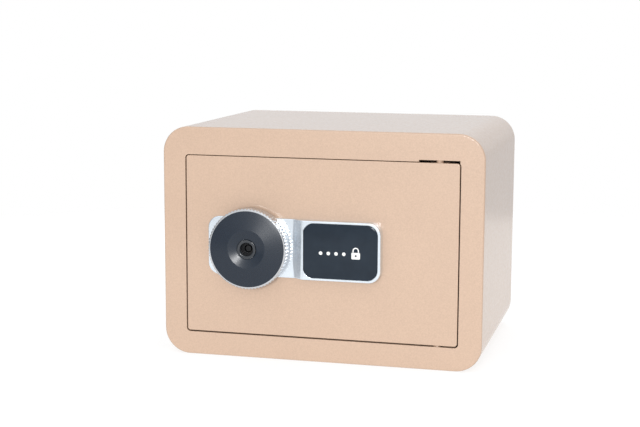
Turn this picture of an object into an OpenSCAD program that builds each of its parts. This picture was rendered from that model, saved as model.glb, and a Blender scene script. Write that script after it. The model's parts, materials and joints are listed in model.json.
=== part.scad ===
// A small electronic safe for a hotel room: a steel cabinet with rounded long corners, a flush door on
// concealed pivots, a touch panel, and a turning knob that throws two bolts. Millimetres. The origin is
// the middle of the base, +Z is up, and the door faces -Y. The bolts are drawn back and the door is shut.

/* [Cabinet] */
// Outside width of the cabinet
cabinet_w = 350; // [348:1:354]
// Outside height of the cabinet
cabinet_h = 250; // [248:1:262]
// Outside depth of the cabinet
cabinet_d = 250; // [220:5:320]
// Outside radius of the four long corners
corner_r = 28; // [20:1:32]
// Thickness of the cabinet's steel sheet
sheet_t = 2; // [1.8:0.1:2]
// Rounding of the front and rear outer edges
edge_r = 1.8; // [0.8:0.2:1.8]
// Spacing of the floor's anchor holes from side to side
anchor_span_x = 220; // [150:5:240]
// Spacing of the floor's anchor holes from front to back
anchor_span_y = 120; // [60:5:130]
// Spacing of the two anchor holes in the back
back_span = 160; // [120:5:200]
// Radius of an anchor hole
anchor_r = 5; // [4:0.5:6]

/* [Door] */
// Width of the door opening
opening_w = 300; // [298:1:300]
// Height of the door opening
opening_h = 195; // [195:1:196]
// Height of the opening's lower edge above the base
opening_z = 25; // [24.5:0.5:26]
// Gap between the door and the opening at each side
side_gap = 1.2; // [1.2:0.1:1.4]
// Gap above the door
top_gap = 0.8; // [0.6:0.1:1]
// Gap below the door
bottom_gap = 1.5; // [1.3:0.1:1.6]
// Thickness of the door plate
door_t = 3; // [2.8:0.1:3]
// Distance of the pivot axis from the door's hinge edge
pivot_inset = 21.8; // [21.8:0.1:24]
// Radius of a hinge pin
hinge_pin_r = 2.5; // [2.2:0.1:2.5]

/* [Lock plate] */
// Width of the silver lock plate
plate_w = 191.5; // [190.5:0.5:192.5]
// Height of the silver lock plate
plate_h = 64; // [63:1:67]
// Corner radius of the lock plate
plate_r = 13; // [11:0.5:14]
// Height of the lower, left part above the door
plate_low = 4; // [3.6:0.1:4]
// Height of the raised, right part above the door
plate_high = 10.5; // [10.5:0.1:12]
// Width of the black touch panel
panel_w = 81; // [78:1:82]
// Height of the black touch panel
panel_h = 59; // [56:1:59]
// Corner radius of the touch panel
panel_r = 11.5; // [8:0.5:12]

/* [Knob] */
// Radius of the ribbed rim at its base
knob_r = 43.4; // [42.6:0.2:44]
// Radius of the black dished face
face_r = 41.4; // [40.2:0.2:41.6]
// Number of ribs around the rim
rib_count = 72; // [60:6:90]
// Radius of the crank that throws the bolts
crank_r = 16; // [16:0.1:16.2]
// Distance that the bolts travel
bolt_throw = 16; // [15:0.5:16]
// Radius of a locking bolt
bolt_r = 8; // [7:0.5:8]

/* [Hidden] */
$fn = 64;
front_y = -cabinet_d / 2;
back_y = cabinet_d / 2;
fit = 0.05;
shaft_fit = 0.06;
clear = 0.3;

// Door opening and door outline
open_x = opening_w / 2;
open_top = opening_z + opening_h;
door_left = -open_x + side_gap;
door_right = open_x - side_gap;
door_low = opening_z + bottom_gap;
door_top = open_top - top_gap;

// Door opening's lining
jamb_t = 2;
jamb_back = front_y + 37;
keeper_t = 3;

// Hinge, whose axis is vertical
pivot_x = door_right - pivot_inset;
pivot_in = 6;
pivot_y = front_y + pivot_in;
notch_w = 43;
notch_h = 2;
lug_t = 6;
lug_back = front_y + 17;
block_w = 20;
block_h = 11.4;
block_back = 13;
spacer_r = 3.8;
pin_l = 20;
bush_wall = 1;

// Knob axis, which runs from front to back
knob_x = -75;
knob_z = opening_z + 97.5;
spindle_r = 11;
spindle_bore_r = 8.2;
bush_wall_t = 2;
key_body_r = 7.9;
key_plug_r = 6.2;
plug_tail_r = 3;
cylinder_front = 12.2;
plug_front = 12;

// Lock case behind the door plate: depths are counted inwards from the door's front face
case_left = door_left + 5.8;
case_right = pivot_x - 19;
case_low = door_low + 7.5;
case_top = door_top - 8.2;
case_t = 1.5;
floor_in = door_t + case_t;
cover_in = 33;
cover_t = 1.5;
boss_inset = 7;
boss_r = 4;
cover_screw_r = 1.5;
boss_at = [
    for (x = [case_left + boss_inset, case_right - boss_inset],
        z = [case_low + boss_inset, case_top - boss_inset]) [x, z]
];

// Grub screw that holds the knob, at its height above the door's front face
grub_r = 2;
grub_h = 10;

// Layers of the mechanism, as depths inwards from the door's front face
disc_in = 6.2;
disc_t = 3.2;
carriage_in = 10.6;
carriage_t = 3;
bracket_in = 15.6;
bracket_t = 1.5;
nut_in = bracket_in + bracket_t;
nut_t = 3;
cam_in = 21.1;
cam_t = 3;
bolt_axis_in = 17;

// Crank and bolt carriage
crank_half = asin(bolt_throw / 2 / crank_r);
crank_pin_r = 3;
crank_pin_x = knob_x + crank_r * sin(crank_half);
crank_pin_z = knob_z + crank_r * cos(crank_half);
carriage_left = case_left + 23;
carriage_right = knob_x + 47;
carriage_low = knob_z - 49.5;
carriage_top = knob_z + 50.5;
flange_h = 113;
bolt_z = [knob_z - 46, knob_z + 46];
bolt_tip = door_left + 2.8;
screw_r = 3;
screw_l = 12;
strike_half = bolt_r + 0.8;
post_r = 3;
post_x = [knob_x - 25, knob_x + 23];
post_z = [knob_z - 30.5, knob_z + 30.5];

// Blocking plunger and its solenoid, above the knob axis
plunger_r = 3;
plunger_in = carriage_in + carriage_t / 2;
plunger_y = front_y + plunger_in;
plunger_tip = carriage_top + 1;
plunger_drop = 5;
collar_z = carriage_top + 7;
coil_frame_z = carriage_top + 13;
coil_frame_h = 22;
cam_reach = 19.4;
cam_quarter = 90;
cam_dwell = 120;
link_gap = 0.6;
link_low = knob_z + cam_reach + link_gap;

// Touch panel
raised_right = knob_x - 48 + plate_w;
raised_left = knob_x + 58;
ramp_left = raised_left - 10;
plate_z = knob_z + 0.5;
bezel_w = 3;
panel_x = raised_right - bezel_w - panel_w / 2;
panel_in = 2.5;
panel_wall = 1.5;
stud_r = 2;
nut_h = 2.6;
stud_at = [
    [knob_x - 37, knob_z - 22],
    [knob_x - 37, knob_z + 22],
    [raised_right - 6, knob_z - 22],
    [raised_right - 6, knob_z + 22]
];
ribbon_x = 25;
ribbon_hole_r = 8;

// Control board
board = [-10, 90, knob_z + 13, knob_z + 74];
board_in = 8;
board_t = 1.6;
standoff_at = [for (x = [board[0] + 5, board[1] - 5], z = [board[2] + 5, board[3] - 5]) [x, z]];
reset_x = 74;
reset_z = knob_z + 60;
reset_travel = 2;
switch_floor = 3;

// Battery compartment
cell_r = 7.1;
cell_l = 50;
cell_pitch = 15.2;
cell_x = 49;
cell_z = [for (i = [0:3]) knob_z - 67 + cell_pitch * (i + 0.5)];
tray_x = [cell_x - 29.5, cell_x + 29.5];
tray_z = [knob_z - 68.5, knob_z - 67 + cell_pitch * 4 + 1.5];
tray_in = 13;
lid_gap = 0.6;
lid_axis_z = tray_z[0] + 3.4;
lid_axis_y = front_y + cover_in - 0.6;
lid_barrel_r = 2.2;
trunnion_r = 1.4;

// Helpers --------------------------------------------------------------------------------------------

// Rounded rectangle between two corners
module outline(x0, x1, z0, z1, r) {
    translate([(x0 + x1) / 2, (z0 + z1) / 2])
        offset(r)
            square([x1 - x0 - 2 * r, z1 - z0 - 2 * r], center = true);
}

// A flat shape drawn in X and Z, given thickness from depth d0 to depth d1 behind the front face
module slab(d0, d1) {
    translate([0, front_y + d1, 0])
        rotate([90, 0, 0])
            linear_extrude(d1 - d0)
                children();
}

// A round bar along Y, between two depths behind the front face
module bar(x, z, r, d0, d1) {
    translate([x, front_y + d1, z])
        rotate([90, 0, 0])
            cylinder(r = r, h = d1 - d0);
}

// A box between two corners, with its depths counted from the front face
module block(x0, x1, d0, d1, z0, z1) {
    translate([x0, front_y + d0, z0])
        cube([x1 - x0, d1 - d0, z1 - z0]);
}

// Places a shape of revolution on the knob's axis: its +Z points out of the door's front face
module on_knob() {
    translate([knob_x, front_y, knob_z])
        rotate([90, 0, 0])
            children();
}

// A washer or tube along the local Z axis
module ring(r0, r1, z0, z1) {
    translate([0, 0, z0])
        difference() {
            cylinder(r = r1, h = z1 - z0);
            translate([0, 0, -1])
                cylinder(r = r0, h = z1 - z0 + 2);
        }
}

// Unit vectors for sweeping a round wire along points
function unit(v) = v / norm(v);
function heading(p, i) = unit(p[min(i + 1, len(p) - 1)] - p[max(i - 1, 0)]);
function side_of(t) = unit(cross(t, abs(t[2]) < 0.9 ? [0, 0, 1] : [1, 0, 0]));
function carry(side, t) = unit(side - (side * t) * t);
function sides_along(p, i = 0, side = undef) =
    let (t = heading(p, i), s = is_undef(side) ? side_of(t) : carry(side, t))
    i == len(p) - 1 ? [s] : concat([s], sides_along(p, i + 1, s));

// A round wire of radius r along the points p
module wire(p, r, sides = 8) {
    across = sides_along(p);
    points = [for (i = [0:len(p) - 1], k = [0:sides - 1])
        let (s = across[i], u = cross(heading(p, i), s), a = 360 * k / sides)
        p[i] + r * (cos(a) * s + sin(a) * u)];
    walls = [for (i = [0:len(p) - 2], k = [0:sides - 1])
        let (n = (k + 1) % sides)
        [i * sides + k, (i + 1) * sides + k, (i + 1) * sides + n, i * sides + n]];
    first = [for (k = [0:sides - 1]) k];
    last = [for (k = [sides - 1:-1:0]) (len(p) - 1) * sides + k];
    polyhedron(points, concat([first], walls, [last]));
}

// An end plate of the cabinet with its outer edge rounded. d is the depth of its outer face, and inward
// is 1 where the plate thickens towards the rear, or -1 where it thickens towards the front.
module end_plate(d, inward) {
    translate([0, front_y + d, cabinet_h / 2])
        rotate([-90 * inward, 0, 0])
            hull()
                for (x = [-1, 1], z = [-1, 1])
                    translate([x * (cabinet_w / 2 - corner_r), z * (cabinet_h / 2 - corner_r), 0])
                        rounded_disc();
}

// A disc whose outer face, at local Z = 0, has a rounded edge
module rounded_disc() {
    for (a = [0:15:90])
        translate([0, 0, edge_r * (1 - sin(a))])
            cylinder(r = corner_r - edge_r * (1 - cos(a)), h = sheet_t - edge_r * (1 - sin(a)));
}

// Cabinet --------------------------------------------------------------------------------------------

module cabinet_shell() {
    color("peachpuff")
        difference() {
            slab(sheet_t, cabinet_d - sheet_t)
                difference() {
                    outline(-cabinet_w / 2, cabinet_w / 2, 0, cabinet_h, corner_r);
                    outline(-cabinet_w / 2 + sheet_t, cabinet_w / 2 - sheet_t, sheet_t,
                        cabinet_h - sheet_t, corner_r - sheet_t);
                }
            for (x = [-1, 1], y = [-1, 1])
                translate([x * anchor_span_x / 2, y * anchor_span_y / 2, -1])
                    cylinder(r = anchor_r, h = sheet_t + 2);
        }
}

module front_frame() {
    color("peachpuff")
        difference() {
            end_plate(0, 1);
            slab(-1, sheet_t + 1)
                outline(-open_x, open_x, opening_z, open_top, 4);
            block(door_right - notch_w, door_right, -1, sheet_t + 1, open_top - 1, open_top + notch_h);
        }
}

module back_panel() {
    color("peachpuff")
        difference() {
            end_plate(cabinet_d, -1);
            for (x = [-1, 1])
                bar(x * back_span / 2, cabinet_h / 2, anchor_r, cabinet_d - sheet_t - 1, cabinet_d + 1);
        }
}

module door_jamb() {
    color("peachpuff")
        difference() {
            slab(sheet_t, jamb_back - front_y)
                difference() {
                    outline(-open_x - jamb_t, open_x + jamb_t, opening_z - jamb_t, open_top + jamb_t, 6);
                    outline(-open_x, open_x, opening_z, open_top, 4);
                }
            block(door_right - notch_w, door_right, 0, lug_back - front_y, open_top - 5, open_top + 5);
            block(pivot_x - 8, pivot_x + 8, 0, lug_back - front_y, opening_z - 5, opening_z + 5);
            for (z = bolt_z)
                strike_opening(z, -open_x - jamb_t - 1, -open_x + 5);
        }
}

// Square opening that a bolt enters, from x0 to x1
module strike_opening(z, x0, x1) {
    block(x0, x1, bolt_axis_in - strike_half, bolt_axis_in + strike_half, z - strike_half, z + strike_half);
}

module bolt_keeper() {
    margin = 14;
    color("silver")
        difference() {
            block(-open_x - jamb_t - keeper_t, -open_x - jamb_t, bolt_axis_in - margin, bolt_axis_in + margin,
                bolt_z[0] - 20, bolt_z[1] + 20);
            for (z = bolt_z)
                strike_opening(z, -open_x - jamb_t - keeper_t - 1, -open_x);
        }
}

module hinge_lug(z0) {
    difference() {
        block(door_right - notch_w - 3, door_right + 3, sheet_t, lug_back - front_y, z0, z0 + lug_t);
        translate([pivot_x, pivot_y, z0 - 1])
            cylinder(r = hinge_pin_r + fit + bush_wall + fit, h = lug_t + 2);
    }
}

module upper_hinge_lug() {
    color("peachpuff")
        hinge_lug(open_top + notch_h);
}

module lower_hinge_lug() {
    color("peachpuff")
        hinge_lug(opening_z - jamb_t - lug_t);
}

module hinge_bushes() {
    color("goldenrod")
        for (z0 = [open_top + notch_h, opening_z - jamb_t - lug_t])
            translate([pivot_x, pivot_y, z0])
                ring(hinge_pin_r + fit, hinge_pin_r + fit + bush_wall, 0, lug_t);
}

module floor_carpet() {
    carpet_t = 3;
    margin = corner_r + 2;
    front_edge = jamb_back + 6;
    rear_edge = back_y - sheet_t - 4;
    color("dimgray")
        difference() {
            translate([-cabinet_w / 2 + margin, front_edge, sheet_t])
                cube([cabinet_w - 2 * margin, rear_edge - front_edge, carpet_t]);
            for (x = [-1, 1], y = [-1, 1])
                translate([x * anchor_span_x / 2, y * anchor_span_y / 2, 0])
                    cylinder(r = anchor_r + 8, h = 20);
        }
}

// Door -----------------------------------------------------------------------------------------------

// Holes that pass through the door plate and the floor of the lock case
module door_holes() {
    bar(knob_x, knob_z, spindle_r + bush_wall_t + 2 * fit, -1, floor_in + 1);
    bar(ribbon_x, knob_z, ribbon_hole_r, -1, floor_in + 1);
    for (p = stud_at)
        bar(p[0], p[1], stud_r + 0.2, -1, floor_in + 1);
}

module door_plate() {
    color("peachpuff")
        difference() {
            slab(0, door_t)
                outline(door_left, door_right, door_low, door_top, 3);
            door_holes();
        }
}

module door_pan() {
    color("peachpuff")
        difference() {
            union() {
                slab(door_t, floor_in)
                    outline(case_left, case_right, case_low, case_top, 4);
                slab(door_t, cover_in)
                    difference() {
                        outline(case_left, case_right, case_low, case_top, 4);
                        outline(case_left + case_t, case_right - case_t, case_low + case_t,
                            case_top - case_t, 2.5);
                    }
                for (p = boss_at)
                    bar(p[0], p[1], boss_r, door_t + 0.5, cover_in);
            }
            door_holes();
            for (p = boss_at)
                bar(p[0], p[1], cover_screw_r + 0.1, cover_in - 15, cover_in + 1);
            for (z = bolt_z)
                translate([case_left - 5, front_y + bolt_axis_in, z])
                    rotate([0, 90, 0])
                        cylinder(r = bolt_r + bush_wall_t + fit, h = 10);
        }
}

module inner_cover() {
    ear = 4;
    color("gainsboro")
        difference() {
            union() {
                slab(cover_in, cover_in + cover_t)
                    outline(case_left, case_right, case_low, case_top, 4);
                for (x = [tray_x[0] - lid_gap - ear, tray_x[1] + lid_gap])
                    block(x, x + ear, cover_in - 3.5, cover_in + 0.5, lid_axis_z - 4, lid_axis_z + 4);
            }
            block(tray_x[0] - lid_gap, tray_x[1] + lid_gap, cover_in - 5, cover_in + 5,
                tray_z[0] + 0.6, tray_z[1]);
            translate([tray_x[0] - 10, lid_axis_y, lid_axis_z])
                rotate([0, 90, 0])
                    cylinder(r = trunnion_r + fit, h = tray_x[1] - tray_x[0] + 20);
            bar(reset_x, reset_z, 3.5, cover_in - 5, cover_in + 5);
            for (p = boss_at)
                bar(p[0], p[1], cover_screw_r + clear, cover_in - 1, cover_in + 5);
        }
}

module cover_screws() {
    head_in = cover_in + cover_t;
    head_h = 1.8;
    color("silver")
        for (p = boss_at)
            difference() {
                union() {
                    bar(p[0], p[1], cover_screw_r, cover_in - 8, head_in + 0.5);
                    bar(p[0], p[1], 2 * cover_screw_r, head_in, head_in + head_h);
                }
                for (a = [0, 90])
                    translate([p[0], front_y + head_in + head_h, p[1]])
                        rotate([0, a, 0])
                            cube([3.2, 2, 0.8], center = true);
            }
}

module hinge_blocks() {
    color("peachpuff")
        for (z0 = [door_top - block_h, door_low])
            difference() {
                block(pivot_x - block_w / 2, pivot_x + block_w / 2, door_t, block_back, z0, z0 + block_h);
                translate([pivot_x, pivot_y, z0 - 1])
                    cylinder(r = hinge_pin_r + fit, h = block_h + 2);
            }
}

module hinge_pins() {
    color("silver")
        for (z0 = [door_top - block_h - 0.3, door_low + block_h + 0.3 - pin_l])
            translate([pivot_x, pivot_y, z0])
                cylinder(r = hinge_pin_r, h = pin_l);
}

module hinge_spacers() {
    end_play = 0.1;
    color("peachpuff")
        translate([pivot_x, pivot_y, 0]) {
            ring(hinge_pin_r + fit, spacer_r, door_top, open_top + notch_h - end_play);
            ring(hinge_pin_r + fit, spacer_r, opening_z - jamb_t + end_play, door_low);
        }
}

// Lock plate -----------------------------------------------------------------------------------------

module escutcheon() {
    plate_left = raised_right - plate_w;
    profile = [
        [plate_left, 0], [plate_left, -plate_low], [ramp_left, -plate_low],
        [raised_left, -plate_high], [raised_right, -plate_high], [raised_right, 0]
    ];
    hollow_left = raised_left + 5;
    hollow_right = raised_right - 3;
    hollow_top = plate_high - panel_in - panel_wall;
    color("silver")
        difference() {
            union() {
                intersection() {
                    translate([0, front_y, 0])
                        linear_extrude(cabinet_h)
                            polygon(profile);
                    slab(-plate_high - 1, 0)
                        outline(plate_left, raised_right, plate_z - plate_h / 2, plate_z + plate_h / 2,
                            plate_r);
                }
                for (p = stud_at)
                    bar(p[0], p[1], stud_r, -1, floor_in + nut_h + 0.6);
            }
            difference() {
                slab(-hollow_top, 1)
                    outline(hollow_left, hollow_right, plate_z - plate_h / 2 + 4, plate_z + plate_h / 2 - 4, 8);
                for (p = stud_at)
                    bar(p[0], p[1], 3.4, -20, 20);
            }
            slab(-plate_high - 1, -plate_high + panel_in)
                outline(panel_x - panel_w / 2, panel_x + panel_w / 2, plate_z - panel_h / 2,
                    plate_z + panel_h / 2, panel_r);
            bar(panel_x, knob_z, 10, -plate_high - 1, 1);
            bar(knob_x, knob_z, 15.5, -20, 1);
        }
}

module escutcheon_nuts() {
    color("silver")
        for (p = stud_at)
            translate([p[0], front_y + floor_in + nut_h, p[1]])
                rotate([90, 0, 0])
                    difference() {
                        cylinder(r = 4, h = nut_h, $fn = 6);
                        translate([0, 0, -1])
                            cylinder(r = stud_r + fit, h = 5);
                    }
}

module touch_panel() {
    inset = 0.3;
    set_back = 0.2;
    color("black")
        slab(-plate_high + set_back, -plate_high + panel_in)
            outline(panel_x - panel_w / 2 + inset, panel_x + panel_w / 2 - inset,
                plate_z - panel_h / 2 + inset, plate_z + panel_h / 2 - inset, panel_r - inset);
}

module keypad_board() {
    board_front = plate_high - panel_in - panel_wall;
    color("darkgreen")
        slab(-board_front, -board_front + board_t)
            outline(raised_left + 8, raised_right - 11, knob_z - 24, knob_z + 24, 3);
}

// Flat cable: out of the keypad board, through the door, and up to the control board's front face
module keypad_ribbon() {
    t = 0.6;
    turn_r = 2.5;
    start = plate_high - panel_in - panel_wall - board_t;
    turn_in = board_in - turn_r - 0.5;
    end_z = board[2] + 5;
    color("gray")
        translate([ribbon_x - 5, front_y, 0])
            rotate([90, 0, 90])
                linear_extrude(10) {
                    translate([-start, knob_z - t / 2])
                        square([start + turn_in, t]);
                    translate([turn_in, knob_z + turn_r])
                        intersection() {
                            difference() {
                                circle(turn_r + t / 2);
                                circle(turn_r - t / 2);
                            }
                            translate([0, -2 * turn_r])
                                square(2 * turn_r);
                        }
                    translate([turn_in + turn_r - t / 2, knob_z + turn_r])
                        square([t, end_z - knob_z - turn_r]);
                    translate([turn_in + turn_r - t / 2, end_z - t])
                        square([board_in - turn_in - turn_r + t / 2, t]);
                }
}

// Electronics ----------------------------------------------------------------------------------------

module control_board() {
    color("darkgreen")
        difference() {
            slab(board_in, board_in + board_t)
                outline(board[0], board[1], board[2], board[3], 2);
            for (p = standoff_at)
                bar(p[0], p[1], 1.6, 0, 20);
        }
}

module board_standoffs() {
    color("white")
        for (p = standoff_at) {
            bar(p[0], p[1], 3, floor_in, board_in);
            bar(p[0], p[1], 1.5, floor_in, board_in + board_t + 1.5);
        }
}

module board_parts() {
    face = board_in + board_t;
    color("black") {
        block(10, 26, face, face + 2.5, knob_z + 40, knob_z + 56);
        block(40, 48, face, face + 2, knob_z + 44, knob_z + 54);
        bar(62, knob_z + 34, 6, face, face + 7);
        bar(4, knob_z + 62, 3, face, face + 9);
        block(0, 10, face, face + 6, knob_z + 18, knob_z + 26);
        block(52, 62, face, face + 6, knob_z + 62, knob_z + 70);
    }
}

module reset_switch() {
    base = board_in + board_t;
    color("dimgray")
        difference() {
            block(reset_x - 4, reset_x + 4, base, base + 8, reset_z - 4, reset_z + 4);
            bar(reset_x, reset_z, 2.2, base + switch_floor, base + 9);
        }
}

module reset_button() {
    base = board_in + board_t + switch_floor + reset_travel + 0.6;
    color("red") {
        bar(reset_x, reset_z, 1.7, base, cover_in - 2.5);
        bar(reset_x, reset_z, 3.2, cover_in - 3, cover_in + cover_t + 1.6);
    }
}

// Knob axis ------------------------------------------------------------------------------------------

module spindle_bush() {
    color("goldenrod")
        on_knob() {
            ring(spindle_r + shaft_fit, spindle_r + bush_wall_t, -floor_in, 0.5);
            ring(spindle_r + shaft_fit, spindle_r + 2 * bush_wall_t, 0, 1.2);
        }
}

module guide_posts() {
    color("silver")
        for (x = post_x, z = post_z)
            difference() {
                bar(x, z, post_r, floor_in, bracket_in);
                bar(x, z, 1.3, bracket_in - 6, bracket_in + 1);
            }
}

module cylinder_bracket() {
    color("silver")
        difference() {
            slab(bracket_in, bracket_in + bracket_t)
                outline(post_x[0] - 6, post_x[1] + 6, post_z[0] - 6, post_z[1] + 6, 4);
            bar(knob_x, knob_z, key_body_r + fit, 0, 40);
            for (x = post_x, z = post_z)
                bar(x, z, 1.7, 0, 40);
        }
}

module bracket_screws() {
    color("silver")
        for (x = post_x, z = post_z) {
            bar(x, z, 1.2, bracket_in - 4, bracket_in + bracket_t + 0.5);
            bar(x, z, 2.8, bracket_in + bracket_t, bracket_in + bracket_t + 1.8);
        }
}

module lock_cylinder() {
    color("dimgray")
        on_knob()
            ring(key_plug_r + shaft_fit, key_body_r, -nut_in - nut_t, cylinder_front);
}

module cylinder_nut() {
    color("silver")
        on_knob()
            difference() {
                translate([0, 0, -nut_in - nut_t])
                    cylinder(r = 12, h = nut_t, $fn = 6);
                translate([0, 0, -40])
                    cylinder(r = key_body_r + fit, h = 40);
            }
}

// Key plug with a ring-shaped keyway for a tubular key
module key_plug() {
    tail_in = nut_in + nut_t;
    tail_end = cam_in + cam_t;
    keyway_r = 4.4;
    keyway_depth = 7;
    color("dimgray")
        on_knob()
            difference() {
                union() {
                    translate([0, 0, -tail_in])
                        cylinder(r = key_plug_r, h = tail_in + plug_front);
                    translate([0, 0, -tail_end])
                        cylinder(r = plug_tail_r, h = tail_end - tail_in + 1);
                }
                ring(keyway_r - 1.4, keyway_r, plug_front - keyway_depth, plug_front + 1);
                translate([0, keyway_r, plug_front - keyway_depth / 2 + 0.5])
                    cube([1.4, 2, keyway_depth + 1], center = true);
                translate([0, 0, -tail_end - 1])
                    cylinder(r = 1.3, h = 8);
            }
}

// Radius of the snail cam at angle a, counted from its top towards -X: it falls by the plunger's travel
// over a quarter turn, dwells, and then steps back up
function cam_radius(a) =
    a > cam_dwell ? cam_reach : cam_reach - plunger_drop * min(a, cam_quarter) / cam_quarter;

module tail_cam() {
    step = 5;
    angles = [for (a = [0 : step : 360 - step]) if (a <= cam_dwell || a >= cam_dwell + 2 * step) a];
    color("silver")
        difference() {
            slab(cam_in, cam_in + cam_t)
                translate([knob_x, knob_z])
                    polygon([for (a = angles) cam_radius(a) * [-sin(a), cos(a)]]);
            bar(knob_x, knob_z, plug_tail_r + fit, 0, 40);
        }
}

module tail_screw() {
    tail_end = cam_in + cam_t;
    color("silver") {
        bar(knob_x, knob_z, 1.2, tail_end - 6, tail_end + 0.5);
        bar(knob_x, knob_z, 4.5, tail_end, tail_end + 2);
    }
}

module knob_rim() {
    base = plate_low + 0.4;
    top = 18.6;
    inner_r = face_r - 1.8;
    flute_r = 1;
    color("silver")
        on_knob()
            difference() {
                rotate_extrude()
                    polygon([[inner_r, base], [knob_r - 0.8, base], [knob_r, base + 0.8],
                        [knob_r, top - 1.4], [face_r + 0.3, top], [inner_r, top]]);
                for (i = [0:rib_count - 1])
                    rotate([0, 0, 360 * i / rib_count])
                        translate([knob_r + 0.35, 0, base + 3.4])
                            cylinder(r = flute_r, h = 20, $fn = 16);
            }
}

module knob_core() {
    base = plate_low + 1.2;
    top = 15.8;
    web = 12;
    hub_r = 17;
    outer_r = face_r - 2;
    color("dimgray")
        on_knob()
            difference() {
                rotate_extrude()
                    polygon([[spindle_r + fit, base], [hub_r, base], [hub_r, web], [outer_r - 2.9, web],
                        [outer_r - 2.9, base], [outer_r, base], [outer_r, top], [spindle_r + fit, top]]);
                translate([0, 0, grub_h])
                    rotate([90, 0, 0])
                        cylinder(r = grub_r + fit, h = 20);
            }
}

module knob_grub_screw() {
    color("silver")
        on_knob()
            translate([0, -spindle_r - 0.1, grub_h])
                rotate([90, 0, 0])
                    cylinder(r = grub_r, h = 5.5);
}

module knob_face() {
    crest_r = 20.5;
    crater_r = 10.6;
    seat_r = face_r - 2;
    back = 15.9;
    rim_top = 18.7;
    color("black")
        on_knob()
            rotate_extrude()
                polygon([[crater_r, back], [seat_r - 0.2, back], [seat_r, back + 0.9], [seat_r, rim_top],
                    [face_r - 0.4, rim_top], [crest_r, 22.2], [crater_r, 19.6]]);
}

module knob_trim_ring() {
    outer_r = 10.3;
    inner_r = 7.2;
    top = 20.4;
    color("gray")
        on_knob()
            rotate_extrude()
                polygon([[inner_r, top - 3.3], [outer_r, top - 3.3], [outer_r, top - 0.4],
                    [outer_r - 0.4, top], [inner_r + 0.5, top], [inner_r, top - 0.8]]);
}

module knob_spindle() {
    disc_back = disc_in + disc_t;
    color("silver")
        on_knob()
            difference() {
                ring(spindle_bore_r, spindle_r, -disc_back, 15.7);
                ring(spindle_r - 0.8, spindle_r + 1, -floor_in - 1.4, -floor_in - 0.2);
                translate([0, -spindle_r, grub_h])
                    rotate([90, 0, 0])
                        cylinder(r = grub_r + 0.2, h = 0.8, center = true);
            }
}

module spindle_circlip() {
    color("silver")
        on_knob()
            translate([0, 0, -floor_in - 1.35])
                rotate([0, 0, 15])
                    rotate_extrude(angle = 330)
                        translate([spindle_r - 0.75, 0])
                            square([3.4, 1.1]);
}

module cam_disc() {
    disc_r = crank_r + crank_pin_r + 1.5;
    color("silver")
        difference() {
            on_knob()
                ring(spindle_r + fit, disc_r, -disc_in - disc_t, -disc_in);
            bar(crank_pin_x, crank_pin_z, crank_pin_r + fit, 0, 20);
        }
}

module crank_pin() {
    color("goldenrod")
        bar(crank_pin_x, crank_pin_z, crank_pin_r, disc_in, carriage_in + carriage_t + 1.2);
}

// Bolt work ------------------------------------------------------------------------------------------

// A straight slot along X that a post of radius r travels through
module travel_slot(x, z, r, play) {
    slab(carriage_in - 1, carriage_in + carriage_t + 1)
        translate([x - r - play, z - r - play])
            square([bolt_throw + 2 * (r + play), 2 * (r + play)]);
}

module bolt_carriage() {
    slot_play = 0.5;
    notch_low = carriage_top - plunger_drop;
    flange_t = 3;
    flange_back = 25;
    head_room = 6.5;
    color("silver")
        difference() {
            union() {
                slab(carriage_in, carriage_in + carriage_t)
                    outline(carriage_left, carriage_right, carriage_low, carriage_top, 2);
                block(carriage_left, carriage_left + flange_t, carriage_in, flange_back,
                    knob_z - flange_h / 2, knob_z + flange_h / 2);
            }
            for (x = post_x, z = post_z)
                travel_slot(x, z, post_r, clear);
            travel_slot(knob_x, knob_z, key_body_r, 1);
            slab(carriage_in - 1, carriage_in + carriage_t + 1)
                translate([crank_pin_x - crank_pin_r - slot_play, knob_z + crank_r - 2 * crank_pin_r + 0.8])
                    square([2 * (crank_pin_r + slot_play), 9.4]);
            for (step = [0, bolt_throw])
                block(knob_x + step - plunger_r - 0.5, knob_x + step + plunger_r + 0.5, carriage_in - 1,
                    carriage_in + carriage_t + 1, notch_low, carriage_top + 1);
            for (z = bolt_z) {
                block(carriage_left + flange_t, carriage_left + flange_t + head_room, carriage_in - 1,
                    carriage_in + carriage_t + 1, z - head_room, z + head_room);
                translate([carriage_left - 1, front_y + bolt_axis_in, z])
                    rotate([0, 90, 0])
                        cylinder(r = screw_r + 0.2, h = flange_t + 2);
            }
        }
}

module locking_bolts() {
    bolt_l = carriage_left - bolt_tip;
    chamfer = 1.5;
    color("silver")
        for (z = bolt_z)
            translate([bolt_tip, front_y + bolt_axis_in, z])
                rotate([0, 90, 0])
                    difference() {
                        union() {
                            cylinder(r1 = bolt_r - chamfer, r2 = bolt_r, h = chamfer);
                            translate([0, 0, chamfer])
                                cylinder(r = bolt_r, h = bolt_l - chamfer);
                        }
                        translate([0, 0, bolt_l - screw_l - 2])
                            cylinder(r = screw_r + fit, h = screw_l + 3);
                    }
}

module bolt_screws() {
    color("silver")
        for (z = bolt_z)
            translate([carriage_left - screw_l, front_y + bolt_axis_in, z])
                rotate([0, 90, 0]) {
                    cylinder(r = screw_r, h = screw_l + 3.5);
                    translate([0, 0, screw_l + 3])
                        cylinder(r = 5.5, h = 4, $fn = 6);
                }
}

module bolt_bushes() {
    color("goldenrod")
        for (z = bolt_z)
            translate([case_left, front_y + bolt_axis_in, z])
                rotate([0, 90, 0]) {
                    ring(bolt_r + shaft_fit, bolt_r + bush_wall_t, 0, 5);
                    ring(bolt_r + shaft_fit, bolt_r + bush_wall_t + 1.6, case_t, case_t + 1.5);
                }
}

// Solenoid -------------------------------------------------------------------------------------------

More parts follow.
